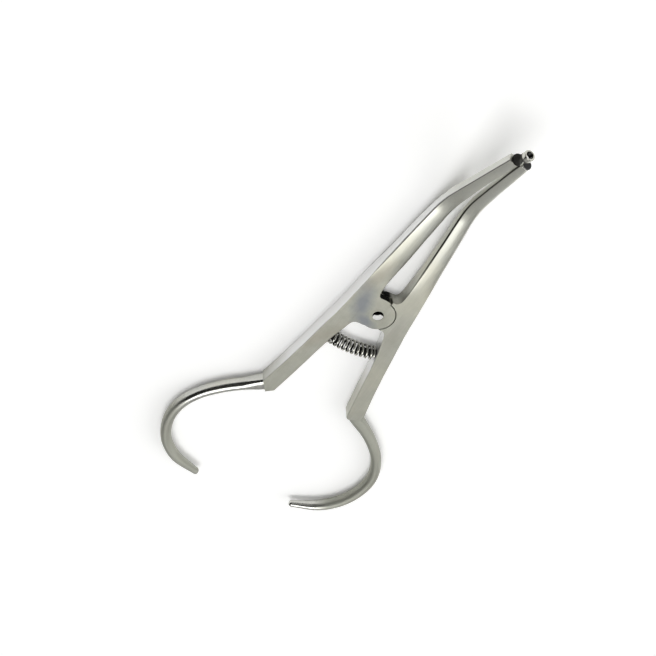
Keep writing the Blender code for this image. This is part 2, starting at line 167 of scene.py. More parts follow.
def new_object(name, bm):
    bmesh.ops.recalc_face_normals(bm, faces=bm.faces)
    bmesh.ops.triangulate(bm, faces=[f for f in bm.faces if len(f.verts) > 4])
    mesh = bpy.data.meshes.new(name)
    bm.to_mesh(mesh)
    bm.free()
    obj = bpy.data.objects.new(name, mesh)
    bpy.context.scene.collection.objects.link(obj)
    return obj


def loft(name, rings, closed=False):
    """Skin a list of equal rings of 3-D points; open ends are capped."""
    bm = bmesh.new()
    rows = [[bm.verts.new(to_world(p)) for p in ring] for ring in rings]
    count = len(rows[0])
    last = len(rows) if closed else len(rows) - 1
    for i in range(last):
        a, b = rows[i], rows[(i + 1) % len(rows)]
        for j in range(count):
            k = (j + 1) % count
            bm.faces.new((a[j], a[k], b[k], b[j]))
    if not closed:
        bm.faces.new(rows[0])
        bm.faces.new(rows[-1])
    return new_object(name, bm)


def prism(name, outline, z0, z1):
    return loft(name, [[(x, y, z) for x, y in outline] for z in (z0, z1)])


def cylinder(name, centre, axis, radius, start, end, sides=144):
    """Cylinder from centre + axis*start to centre + axis*end."""
    axis = Vector(axis).normalized()
    side = axis.orthogonal().normalized()
    up = axis.cross(side)
    centre = Vector(centre)
    rings = []
    for d in (start, end):
        rings.append([tuple(centre + axis * d + (side * math.cos(a) + up * math.sin(a)) * radius)
                      for a in (2 * math.pi * i / sides for i in range(sides))])
    return loft(name, rings)


def combine(target, tool, operation):
    """Boolean the tool into the target and remove the tool."""
    mod = target.modifiers.new("cut", "BOOLEAN")
    mod.object = tool
    mod.operation = operation
    mod.solver = "EXACT"
    graph = bpy.context.evaluated_depsgraph_get()
    mesh = bpy.data.meshes.new_from_object(target.evaluated_get(graph))
    target.modifiers.clear()
    target.data = mesh
    bpy.data.objects.remove(tool, do_unlink=True)


def tidy(obj, bevel=0.0):
    bm = bmesh.new()
    bm.from_mesh(obj.data)
    bmesh.ops.remove_doubles(bm, verts=bm.verts, dist=0.000002)
    bmesh.ops.dissolve_degenerate(bm, edges=bm.edges, dist=0.000002)
    if bevel:
        bmesh.ops.dissolve_limit(bm, angle_limit=math.radians(0.4), verts=bm.verts, edges=bm.edges)
    else:
        bmesh.ops.triangulate(bm, faces=[f for f in bm.faces if len(f.verts) > 4])
    bmesh.ops.recalc_face_normals(bm, faces=bm.faces)
    bm.to_mesh(obj.data)
    bm.free()
    if bevel:
        mod = obj.modifiers.new("edge", "BEVEL")
        mod.width = bevel * MM
        mod.segments = 3
        mod.limit_method = "ANGLE"
        mod.angle_limit = math.radians(48)
        mod.use_clamp_overlap = True
        mod.miter_outer = "MITER_ARC"
        graph = bpy.context.evaluated_depsgraph_get()
        mesh = bpy.data.meshes.new_from_object(obj.evaluated_get(graph))
        obj.modifiers.clear()
        obj.data = mesh
    obj.data.shade_smooth()
    obj.data.set_sharp_from_angle(angle=math.radians(33))
    if bevel:
        mod = obj.modifiers.new("normals", "WEIGHTED_NORMAL")
        mod.keep_sharp = True
        mod.weight = 80
        graph = bpy.context.evaluated_depsgraph_get()
        mesh = bpy.data.meshes.new_from_object(obj.evaluated_get(graph))
        obj.modifiers.clear()
        obj.data = mesh


def catmull(points, steps):
    """Smooth curve through points, steps pieces per span."""
    pts = [Vector(p) for p in points]
    pts = [pts[0] * 2 - pts[1]] + pts + [pts[-1] * 2 - pts[-2]]
    out = []
    for i in range(1, len(pts) - 2):
        p0, p1, p2, p3 = pts[i - 1:i + 3]
        for k in range(steps):
            t = k / steps
            out.append(0.5 * ((2 * p1) + (p2 - p0) * t + (2 * p0 - 5 * p1 + 4 * p2 - p3) * t * t
                              + (3 * p1 - p0 - 3 * p2 + p3) * t ** 3))
    out.append(pts[-2])
    return out


def rounded_section(width, depth, radii, crown=0.0, segs=12, top=12):
    """Rounded rectangle, u in 0..width from the inner side, v in -depth..0.

    The upper face is crowned: its edges lie `crown` below its middle.
    """
    r1, r2, r3, r4 = (min(r, width * 0.48, depth * 0.48) for r in radii)
    pts = []
    corners = ((width - r1, -r1, r1, 0.0), (r2, -r2, r2, 90.0),
               (r3, -depth + r3, r3, 180.0), (width - r4, -depth + r4, r4, 270.0))
    for n, (cu, cv, r, start) in enumerate(corners):
        for i in range(segs + 1):
            a = math.radians(start + 90.0 * i / segs)
            pts.append((cu + r * math.cos(a), cv + r * math.sin(a)))
        if n == 0:
            first, last = width - r1, r2
            pts += [(first + (last - first) * i / (top + 1), 0.0) for i in range(1, top + 1)]
    return [(u, v - crown * (2 * u / width - 1) ** 2 * (1 + v / depth)) for u, v in pts]


# ---------------------------------------------------------------- arm bodies
def top_line(s):
    """Point (y, z) and upward normal of the upper face at plan distance s."""
    start = BEND_Y - BEND_HALF
    radius = BEND_HALF / math.tan(BEND_ANGLE / 2)
    if s <= start:
        return s, T, 0.0
    end = BEND_Y + BEND_HALF * math.cos(BEND_ANGLE)
    if s >= end:
        return s, T + (s - BEND_Y) * math.tan(BEND_ANGLE), BEND_ANGLE
    a = math.asin(min(1.0, (s - start) / radius))
    return s, T + radius * (1 - math.cos(a)), a


def blend(rows, y):
    """Linear interpolation of a station table at y."""
    if y <= rows[0][0]:
        return rows[0][1:]
    for a, b in zip(rows, rows[1:]):
        if y <= b[0]:
            t = (y - a[0]) / (b[0] - a[0])
            return tuple(p + (q - p) * t for p, q in zip(a[1:], b[1:]))
    return rows[-1][1:]


def smooth(t):
    t = max(0.0, min(1.0, t))
    return t * t * (3 - 2 * t)


def mix(a, b, t):
    return tuple(p + (q - p) * t for p, q in zip(a, b))


def arm_rings(side, jaw_end):
    shank_r, jaw_r, swell, dome = (
        (LEFT_SHANK_R, LEFT_JAW_R, LEFT_SWELL, LEFT_CROWN) if side < 0
        else (RIGHT_SHANK_R, RIGHT_JAW_R, RIGHT_SWELL, RIGHT_CROWN))
    rings = []

    def flat_ring(inner, outer, radius):
        inner, outer = Vector(inner), Vector(outer)
        d = (outer - inner)
        width = d.length
        d.normalize()
        return [(side * (inner.x + d.x * u), inner.y + d.y * u, T + v)
                for u, v in rounded_section(width, T, (radius,) * 4)]

    corner_in, corner_out, seam_in, seam_out = LEFT_END if side < 0 else RIGHT_END
    rings.append(flat_ring(seam_in, seam_out, EDGE_R))
    rings.append(flat_ring(corner_in, corner_out, EDGE_R))
    for y, xi, xo in HANDLE_STATIONS[1:]:
        rings.append(flat_ring((xi, y - 0.6 * (xo - xi) * 0.2), (xo, y), EDGE_R))
    for y, xi, xo in HUB_STATIONS:
        rings.append(flat_ring((xi, y), (xo, y), HUB_EDGE_R))
    rows = SHANK_STATIONS + JAW_STATIONS
    start = SHANK_STATIONS[0][0]
    ys = [start + 0.6 * i for i in range(48)]
    ys += [BEND_Y - BEND_HALF + 0.3 * i for i in range(29)]
    ys += [BEND_Y + BEND_HALF + 0.7 + 0.7 * i for i in range(26)]
    ys = sorted(y for y in ys if y < jaw_end - 0.4) + [jaw_end]
    for y in ys:
        xi, xo, thick = blend(rows, y)
        y_, z, a = top_line(y)
        rise = smooth((y - start) / 12.0)
        fall = smooth((y - (BEND_Y - 5.0)) / 10.0)
        radii = mix(mix((HUB_EDGE_R,) * 4, shank_r, rise), jaw_r, fall)
        swollen = rise * (1 - smooth((y - (BEND_Y - 3.0)) / 15.0))
        crown = rise * (dome[0] + (dome[1] - dome[0]) * fall)
        if side < 0:
            xo -= LEFT_JAW_TRIM * fall
        xi -= swell[0] * swollen
        xo += swell[1] * swollen
        normal = (-math.sin(a), math.cos(a))
        rings.append([(side * (xi + u), y_ + normal[0] * v, z + normal[1] * v)
                      for u, v in rounded_section(xo - xi, thick, radii, crown)])
    return rings


def arc(radius, start_deg, end_deg, steps):
    return [(radius * math.cos(math.radians(start_deg + (end_deg - start_deg) * i / steps)),
             radius * math.sin(math.radians(start_deg + (end_deg - start_deg) * i / steps)))
            for i in range(steps + 1)]


def own_plate(side):
    """Outline of the half-thickness plate that carries the arm's own disc."""
    pts = [(7.2, 9.6), (3.62, 9.6), (3.60, 8.0), (3.45, 6.9), (3.15, 6.2), (2.6, WEB_TOP_Y + 0.05),
           (1.1, WEB_TOP_Y), (-0.3, WEB_TOP_Y - 0.1), (-WEB_TOP_X, WEB_TOP_Y - 0.45)]
    pts += arc(DISC_R, 103.0, 253.0, 100)
    pts += arc(DISC_R, 253.0, 287.0, 24)[1:]
    pts += [(2.4, -4.78), (3.75, -4.70), (4.75, -4.95), (5.35, -5.5), (5.80, -6.6), (6.30, -8.6),
            (7.2, -9.4)]
    return [(side * x, y) for x, y in pts]


def facing_plate(side):
    """Outline of the plate beside the other arm's disc, before it is bored."""
    pts = [(7.2, 9.6), (3.62, 9.6), (3.62, 8.0), (3.40, 7.0), (2.95, 6.35), (2.4, 6.0), (1.36, 5.85),
           (1.30, 4.9), (2.0, 2.0), (2.0, -2.0), (2.3, -4.35), (3.6, -4.28), (4.45, -4.45),
           (5.05, -4.9), (5.42, -5.7), (5.80, -6.9), (6.30, -8.6), (7.2, -9.4)]
    return [(side * x, y) for x, y in pts]


def spring_axis(x):
    """Centre line of the return spring: y and slope at x."""
    bow = 0.112 * SPRING_HALF
    return SPRING_Y - bow * (1 - (x / SPRING_HALF) ** 2), 2 * bow * x / SPRING_HALF ** 2


def stud_frame(side):
    """Middle of the handle wall where a spring stud is seated, and its axis."""
    y, slope = spring_axis(side * SPRING_HALF)
    axis = Vector((-side, -abs(slope), 0.0)).normalized()
    return Vector((side * (SPRING_HALF + GAP + SPRING_WIRE / 2), y + 0.1, T / 2)), axis


def build_arm(name, side, jaw_end, disc_on_top):
    arm = loft(name, arm_rings(side, jaw_end))
    half = T / 2
    low = (RELIEF, half - GAP / 2)
    high = (half + GAP / 2, T - RELIEF)
    own, facing = (high, low) if disc_on_top else (low, high)
    # a full-height strip under the plates keeps both layers on one core
    combine(arm, prism("own_plate", own_plate(side), *own), "UNION")
    overlap = (facing[0] - GAP, facing[1]) if facing is high else (facing[0], facing[1] + GAP)
    plate = prism("facing_plate", facing_plate(side), *overlap)
    cut = (-1.0, half + GAP / 2) if facing is low else (half - GAP / 2, T + 1.0)
    bore = cylinder("bore", (0, 0, 0), (0, 0, 1), DISC_R + GAP, cut[0], cut[1], 180)
    combine(plate, bore, "DIFFERENCE")
    combine(arm, plate, "UNION")
    bore = cylinder("bore", (0, 0, 0), (0, 0, 1), DISC_R + GAP, cut[0], cut[1], 180)
    combine(arm, bore, "DIFFERENCE")
    hole = cylinder("hole", (0, 0, 0), (0, 0, 1), RIVET_R + RIVET_CLEAR, -1.0, T + 1.0, 120)
    combine(arm, hole, "DIFFERENCE")
    centre, axis = stud_frame(side)
    seat = cylinder("seat", centre, axis, STUD_R + GAP, -STUD_IN - GAP, 1.5, 64)
    combine(arm, seat, "DIFFERENCE")
    tidy(arm, 0.09)
    return arm


# --------------------------------------------------------------- finger hook
def build_hook(name, side):
    seam_in, seam_out = (Vector(p + (0.0,)) for p in (LEFT_END if side < 0 else RIGHT_END)[2:])
    line = catmull([(seam_in + seam_out) / 2] + [(x, y, 0.0) for x, y in HOOK_LINE], HOOK_STEPS)
    sizes = catmull([(w, h, 0.0) for w, h in zip(HOOK_WIDTH, HOOK_HEIGHT)], HOOK_STEPS)
    seam = (seam_out - seam_in).normalized()
    rings = []
    total = len(line) - 1
    offset = Vector((seam.y, -seam.x, 0.0)) * JOIN
    for i, p in enumerate(line):
        ahead = (line[min(i + 1, total)] - line[max(i - 1, 0)]).normalized()
        across = Vector((-ahead.y, ahead.x, 0.0))
        lead = i / HOOK_STEPS
        if lead < 1:
            across = (seam * (1 - lead) + across * lead).normalized()
        if i == 0:
            p = p + offset
        width, height = sizes[i].x, sizes[i].y
        power = 3.2 - 1.15 * smooth(i / (1.25 * HOOK_STEPS))
        ring = []
        for k in range(HOOK_SIDES):
            a = 2 * math.pi * (k + 0.5) / HOOK_SIDES
            c, s = math.cos(a), math.sin(a)
            u = math.copysign(abs(c) ** (2 / power), c) * width / 2
            v = math.copysign(abs(s) ** (2 / power), s) * height / 2
            q = p + across * u
            ring.append((side * q.x, q.y, T / 2 + v))
        rings.append(ring)
    # domed end
    ahead = (line[-1] - line[-2]).normalized()
    base = rings[-1]
    centre = Vector((side * line[-1].x, line[-1].y, T / 2))
    push = Vector((side * ahead.x, ahead.y, 0.0))
    for a in (12, 25, 38, 50, 62, 74, 84):
        t = math.radians(a)
        rings.append([tuple(centre + (Vector(q) - centre) * math.cos(t) + push * math.sin(t) * 1.0)
                      for q in base])
    hook = loft(name, rings)
    tidy(hook)
    return hook


# --------------------------------------------------------- rivet and spring
def build_rivet():
    """Flush tubular rivet, bored right through."""
    sides = 144
    profile = [(RIVET_R + 0.35, 0.03), (RIVET_R + 0.38, 0.016), (RIVET_BORE_R + 0.10, 0.016),
               (RIVET_BORE_R, 0.12), (RIVET_BORE_R, T - 0.12), (RIVET_BORE_R + 0.10, T - 0.012),
               (RIVET_R + 0.38, T - 0.012), (RIVET_R + 0.35, T - 0.03), (RIVET_R + 0.03, T - 0.03),
               (RIVET_R + 0.03, 0.03)][::-1]
    rings = [[(r * math.cos(a), r * math.sin(a), z) for r, z in profile]
             for a in (2 * math.pi * i / sides for i in range(sides))]
    rivet = loft("pivot_rivet", rings, closed=True)
    tidy(rivet)
    return rivet


def build_spring():
    radius = (SPRING_OD - SPRING_WIRE) / 2
    wire = SPRING_WIRE / 2
    count = SPRING_TURNS * SPRING_STEPS
    centres = []
    for i in range(count + 1):
        turn = i / SPRING_STEPS
        # close-wound first and last three quarters of a turn
        lead = 0.75
        pitch_end = SPRING_WIRE * 1.08
        if turn < lead:
            along = pitch_end * turn
        elif turn > SPRING_TURNS - lead:
            along = 2 * SPRING_HALF - pitch_end * (SPRING_TURNS - turn)
        else:
            t = (turn - lead) / (SPRING_TURNS - 2 * lead)
            along = pitch_end * lead + (2 * SPRING_HALF - 2 * pitch_end * lead) * t
        x = -SPRING_HALF + along
        y, slope = spring_axis(x)
        tangent = Vector((1.0, slope, 0.0)).normalized()
        side = Vector((-tangent.y, tangent.x, 0.0))
        a = 2 * math.pi * turn + math.pi / 2
        centres.append(Vector((x, y, T / 2)) + side * math.cos(a) * radius
                       + Vector((0, 0, 1)) * math.sin(a) * radius)
    rings = []
    for i, p in enumerate(centres):
        ahead = (centres[min(i + 1, count)] - centres[max(i - 1, 0)]).normalized()
        x = p.x
        y, _ = spring_axis(x)
        out = (p - Vector((x, y, T / 2)))
        out = (out - ahead * out.dot(ahead)).normalized()
        other = ahead.cross(out)
        rings.append([tuple(p + (out * math.cos(b) + other * math.sin(b)) * wire)
                      for b in (2 * math.pi * k / 16 for k in range(16))])
    spring = loft("return_spring", rings)
    tidy(spring)
    return spring


def build_stud(name, side):
    """Pin seated in the handle that keeps the end coils in place."""
    centre, axis = stud_frame(side)
    across = axis.orthogonal().normalized()
    up = axis.cross(across)
    rings = []
    out = LEFT_STUD_OUT if side < 0 else RIGHT_STUD_OUT
    for d, r in ((-STUD_IN, STUD_R), (out - 0.35, STUD_R), (out, STUD_R - 0.3)):
        rings.append([tuple(centre + axis * d + (across * math.cos(a) + up * math.sin(a)) * r)
                      for a in (2 * math.pi * i / 64 for i in range(64))])
    stud = loft(name, rings)
    tidy(stud)
    return stud


# ----------------------------------------------------------------- jaw tips
def jaw_frame(jaw_end):
    y, z, a = top_line(jaw_end)
    along = Vector((0.0, math.cos(a), math.sin(a)))
    up = Vector((0.0, -math.sin(a), math.cos(a)))
    return Vector((0.0, y, z)), along, up


def build_eyelet():
    """Tapered neck that carries a short open tube beyond the left jaw."""
    origin, along, up = jaw_frame(LEFT_JAW_END_Y)
    across = Vector((1.0, 0.0, 0.0))
    sides = 72
    rings = []
    # distance, centre x, half width, half height, drop below the upper face
    neck = ((JOIN, -1.10, 1.18, 1.44, 0.92), (JOIN + 0.15, -1.10, 1.32, 1.58, 0.91),
            (0.65, -1.10, 1.34, 1.60, 0.91), (1.00, -1.07, 1.22, 1.46, 0.92),
            (1.35, -1.03, 1.00, 1.20, 0.93), (1.75, -1.03, 0.76, 0.94, 0.94),
            (2.15, -1.08, 0.50, 0.72, 0.95), (2.6, -1.13, 0.36, 0.58, 0.95),
            (3.4, -1.18, 0.22, 0.46, 0.95))
    steps = [catmull([row[:3] for row in neck], 5), catmull([(row[3], row[4], 0.0) for row in neck], 5)]
    for first, second in zip(*steps):
        c = origin + along * first.x + up * -second.y + across * first.y
        rings.append([tuple(c + across * first.z * math.cos(a) + up * second.x * math.sin(a))
                      for a in (2 * math.pi * i / sides for i in range(sides))])
    piece = loft("left_jaw_eyelet", rings)
    centre = origin + up * -TUBE_DROP + across * TUBE_X
    c = 0.16
    corners = ((TUBE_R - c, TUBE_END - c, 0), (TUBE_R - c, TUBE_START + c, 90),
               (TUBE_HOLE_R + c, TUBE_START + c, 180), (TUBE_HOLE_R + c, TUBE_END - c, 270))
    profile = []
    for r, d, turn in corners:
        for k in range(5):
            a = math.radians(90 - turn - 22.5 * k)
            profile.append((r + c * math.cos(a), d + c * math.sin(a)))
    tube = loft("tube", [[tuple(centre + (up * math.cos(a) + across * math.sin(a)) * r + along * d)
                          for r, d in profile]
                         for a in (2 * math.pi * i / 120 for i in range(120))], closed=True)
    combine(piece, tube, "UNION")
    tidy(piece)
    return piece


def build_nub():
    """Short round peg with a flat, slightly slanted end on the right jaw."""
    origin, along, up = jaw_frame(RIGHT_JAW_END_Y)
    across = Vector((1.0, 0.0, 0.0))
    base = origin + across * NUB_X + up * -NUB_DROP
    profile = [(JOIN, NUB_R * 0.80), (JOIN + 0.08, NUB_R * 0.86), (GAP + 0.22, NUB_R * 0.87),
               (GAP + 0.34, NUB_R * 0.92), (GAP + 0.46, NUB_R)]
    for a in range(0, 91, 15):
        turn = math.radians(a)
        profile.append((NUB_LENGTH - 0.24 + 0.24 * math.sin(turn), NUB_R - 0.24 + 0.24 * math.cos(turn)))
    rings = []
    for d, r in profile:
        slant = NUB_SLANT * smooth((d - 0.55) / 0.5)
        rings.append([tuple(base + along * (d - slant * r * math.sin(a))
                            + (across * math.cos(a) + up * math.sin(a) * 0.95) * r)
                      for a in (2 * math.pi * i / 96 for i in range(96))])
    nub = loft("right_jaw_nub", rings)
    tidy(nub)
    return nub


# ------------------------------------------------------------------ finishes
def nodes_of(mat):
    mat.use_nodes = True
    tree = mat.node_tree
    return tree, tree.nodes, tree.links, tree.nodes["Principled BSDF"]


def noise(tree, vector, scale, detail, rough=0.5):
    n = tree.nodes.new("ShaderNodeTexNoise")
    n.inputs["Scale"].default_value = scale
    n.inputs["Detail"].default_value = detail
    n.inputs["Roughness"].default_value = rough
    tree.links.new(vector, n.inputs["Vector"])
    return n.outputs["Fac"]


def stretch(tree, source, scale, turn=0.0):
    m = tree.nodes.new("ShaderNodeMapping")
    m.inputs["Scale"].default_value = scale
    m.inputs["Rotation"].default_value = (0.0, 0.0, turn)
    tree.links.new(source, m.inputs["Vector"])
    return m.outputs["Vector"]


def ramp(tree, fac, low, high, a, b):
    r = tree.nodes.new("ShaderNodeMapRange")
    r.inputs["From Min"].default_value = low
    r.inputs["From Max"].default_value = high
    r.inputs["To Min"].default_value = a
    r.inputs["To Max"].default_value = b
    tree.links.new(fac, r.inputs["Value"])
    return r.outputs["Result"]


def mix_colour(tree, fac, a, b):
    m = tree.nodes.new("ShaderNodeMix")
    m.data_type = "RGBA"
    for sock, value in ((m.inputs[6], a), (m.inputs[7], b)):
        if isinstance(value, tuple):
            sock.default_value = value
        else:
            tree.links.new(value, sock)
    if isinstance(fac, float):
        m.inputs[0].default_value = fac
    else:
        tree.links.new(fac, m.inputs[0])
    return m.outputs[2]


def add(tree, a, b, operation="ADD"):
    m = tree.nodes.new("ShaderNodeMath")
    m.operation = operation
    for sock, value in ((m.inputs[0], a), (m.inputs[1], b)):
        if isinstance(value, float):
            sock.default_value = value
        else:
            tree.links.new(value, sock)
    return m.outputs[0]


def steel(name, base, shade, rough, grain, turn=0.0, grain_depth=0.0000016, anisotropic=0.0):
    """Ground or polished stainless steel with a directional grain."""
    mat = bpy.data.materials.new(name)
    tree, nodes, links, bsdf = nodes_of(mat)
    bsdf.inputs["Metallic"].default_value = 1.0
    bsdf.inputs["Anisotropic"].default_value = anisotropic
    coord = nodes.new("ShaderNodeTexCoord").outputs["Object"]
    # long fine scratches, short scratches and a slow mottling
    fine = noise(tree, stretch(tree, coord, (grain, grain * 0.035, grain), turn), 1.0, 3.0, 0.6)
    short = noise(tree, stretch(tree, coord, (grain * 0.45, grain * 0.06, grain * 0.45), turn + 0.12),
                  1.0, 2.0, 0.55)
    slow = noise(tree, coord, 160.0, 3.0, 0.55)
    broad = noise(tree, coord, 48.0, 2.0, 0.5)
    colour = mix_colour(tree, ramp(tree, slow, 0.32, 0.70, 0.0, 1.0), base, shade)
    warm = (min(base[0] * 1.05, 1.0), base[1] * 1.01, base[2] * 0.90, 1.0)
    colour = mix_colour(tree, ramp(tree, broad, 0.48, 0.70, 0.0, 0.55), colour, warm)
    streak = ramp(tree, fine, 0.35, 0.70, 0.92, 1.05)
    scale = nodes.new("ShaderNodeVectorMath")
    scale.operation = "SCALE"
    links.new(colour, scale.inputs[0])
    links.new(streak, scale.inputs["Scale"])
    colour = scale.outputs[0]
    links.new(colour, bsdf.inputs["Base Color"])
    r = add(tree, ramp(tree, fine, 0.3, 0.75, rough * 0.86, rough * 1.18),
            ramp(tree, broad, 0.35, 0.65, -0.03, 0.04))
    links.new(r, bsdf.inputs["Roughness"])
    bump = nodes.new("ShaderNodeBump")
    bump.inputs["Strength"].default_value = 1.0
    bump.inputs["Distance"].default_value = grain_depth * 0.28
    links.new(add(tree, fine, add(tree, short, 0.6, "MULTIPLY")), bump.inputs["Height"])
    links.new(bump.outputs["Normal"], bsdf.inputs["Normal"])
    return mat


def where(tree, point, near, far, inside, outside, flatten=(1.0, 1.0, 1.0)):
    """Ramp on the distance from a point of the piece."""
    coord = tree.nodes.new("ShaderNodeTexCoord").outputs["Object"]
    away = tree.nodes.new("ShaderNodeVectorMath")
    away.operation = "SUBTRACT"
    tree.links.new(coord, away.inputs[0])
    away.inputs[1].default_value = point
    squash = tree.nodes.new("ShaderNodeVectorMath")
    squash.operation = "MULTIPLY"
    tree.links.new(away.outputs[0], squash.inputs[0])
    squash.inputs[1].default_value = flatten
    size = tree.nodes.new("ShaderNodeVectorMath")
    size.operation = "LENGTH"
    tree.links.new(squash.outputs[0], size.inputs[0])
    return ramp(tree, size.outputs["Value"], near, far, inside, outside)


def facing(tree, axis, low, high):
    """1 where the surface faces along the axis, 0 where it doesn't."""
    geometry = tree.nodes.new("ShaderNodeNewGeometry")
    dot = tree.nodes.new("ShaderNodeVectorMath")
    dot.operation = "DOT_PRODUCT"
    tree.links.new(geometry.outputs["Normal"], dot.inputs[0])
    dot.inputs[1].default_value = axis
    return ramp(tree, dot.outputs["Value"], low, high, 0.0, 1.0)


def darken(mat, amount, tint=(0.03, 0.03, 0.03, 1.0)):
    """Mix the base colour toward a dark tint by an amount socket."""
    tree = mat.node_tree
    bsdf = tree.nodes["Principled BSDF"]
    old = bsdf.inputs["Base Color"].links[0].from_socket
    tree.links.new(mix_colour(tree, amount, old, tint), bsdf.inputs["Base Color"])


def matt_dark_film(mat, amount, tint=(0.004, 0.004, 0.004, 1.0)):
    """A matt dark film over the metal, by an amount socket; painted shade in most uses."""
    tree = mat.node_tree
    bsdf = tree.nodes["Principled BSDF"]
    darken(mat, amount, tint)
    keep = tree.nodes.new("ShaderNodeMath")
    keep.operation = "SUBTRACT"
    keep.use_clamp = True
    keep.inputs[0].default_value = 1.0
    tree.links.new(amount, keep.inputs[1])
    if bsdf.inputs["Metallic"].links:
        old = bsdf.inputs["Metallic"].links[0].from_socket
        tree.links.new(add(tree, old, keep.outputs[0], "MULTIPLY"), bsdf.inputs["Metallic"])
    else:
        tree.links.new(keep.outputs[0], bsdf.inputs["Metallic"])
    bsdf.inputs["Specular IOR Level"].default_value = 0.0


def along_axis(tree, start, axis, low, high, a, b):
    """Ramp on the distance from a point, measured along an axis."""
    coord = tree.nodes.new("ShaderNodeTexCoord").outputs["Object"]
    away = tree.nodes.new("ShaderNodeVectorMath")
    away.operation = "SUBTRACT"
    tree.links.new(coord, away.inputs[0])
    away.inputs[1].default_value = start
    dot = tree.nodes.new("ShaderNodeVectorMath")
    dot.operation = "DOT_PRODUCT"
    tree.links.new(away.outputs[0], dot.inputs[0])
    dot.inputs[1].default_value = axis
    return ramp(tree, dot.outputs["Value"], low, high, a, b)


def stain(mat, spots, amount, tint):
    """Long soft spots of discoloured metal: centre, heading, half lengths."""
    tree = mat.node_tree
    coord = tree.nodes.new("ShaderNodeTexCoord").outputs["Object"]
    slow = noise(tree, coord, 210.0, 3.0, 0.6)
    edge = None
    for spot, heading, half_long, half_wide in spots:
        away = tree.nodes.new("ShaderNodeVectorMath")
        away.operation = "SUBTRACT"
        tree.links.new(coord, away.inputs[0])
        away.inputs[1].default_value = spot
        reach = tree.nodes.new("ShaderNodeCombineXYZ")
        lean = Vector((math.cos(heading), math.sin(heading), 0.0))
        for k, axis in enumerate((lean / half_long, Vector((-lean.y, lean.x, 0.0)) / half_wide)):
            part = tree.nodes.new("ShaderNodeVectorMath")
            part.operation = "DOT_PRODUCT"
            tree.links.new(away.outputs[0], part.inputs[0])
            part.inputs[1].default_value = axis
            tree.links.new(part.outputs["Value"], reach.inputs[k])
        size = tree.nodes.new("ShaderNodeVectorMath")
        size.operation = "LENGTH"
        tree.links.new(reach.outputs[0], size.inputs[0])
        blurred = add(tree, size.outputs["Value"], ramp(tree, slow, 0.3, 0.7, -0.20, 0.20))
        spread = ramp(tree, blurred, 0.25, 1.25, amount, 0.0)
        edge = spread if edge is None else add(tree, edge, spread, "MAXIMUM")
    darken(mat, add(tree, edge, facing(tree, (0.0, 0.0, 1.0), 0.55, 0.85), "MULTIPLY"), tint)


def finish_piece(obj, mat, body, node):
    obj.data.materials.clear()
    obj.data.materials.append(mat)
    obj.name = node + "_visual"
    if body:
        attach(obj, body)
    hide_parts(node)
    return obj


SATIN = (0.60, 0.60, 0.535, 1.0)
SATIN_DARK = (0.54, 0.545, 0.50, 1.0)
BRIGHT = (0.62, 0.62, 0.58, 1.0)
BRIGHT_DARK = (0.54, 0.54, 0.51, 1.0)

left_mat = steel("satin_left_arm", SATIN, SATIN_DARK, 0.38, 5200.0, turn=0.10)
right_mat = steel("satin_right_arm", SATIN, SATIN_DARK, 0.38, 5200.0, turn=-0.10)
left_hook_mat = steel("polished_left_hook", BRIGHT, BRIGHT_DARK, 0.22, 3200.0, turn=0.7,
                      grain_depth=0.0000015)
right_hook_mat = steel("polished_right_hook", BRIGHT, BRIGHT_DARK, 0.24, 3200.0, turn=-0.7,
                       grain_depth=0.0000015)
rivet_mat = steel("satin_rivet", SATIN, SATIN_DARK, 0.35, 5200.0, turn=0.10)
wire_mat = steel("drawn_spring_wire", BRIGHT, BRIGHT_DARK, 0.18, 2600.0, grain_depth=0.000001)
# the spring studs are near-black and matt
left_stud_mat = steel("near_black_left_stud", (0.016, 0.016, 0.015, 1.0), (0.010, 0.010, 0.010, 1.0), 0.5, 4200.0, turn=1.57)
right_stud_mat = steel("near_black_right_stud", (0.016, 0.016, 0.015, 1.0), (0.010, 0.010, 0.010, 1.0), 0.5, 4200.0, turn=1.57)
eyelet_mat = steel("polished_eyelet", BRIGHT, BRIGHT_DARK, 0.16, 3600.0, turn=0.2, grain_depth=0.0000015)
nub_mat = steel("polished_nub", BRIGHT, BRIGHT_DARK, 0.16, 3600.0, turn=0.2, grain_depth=0.0000015)
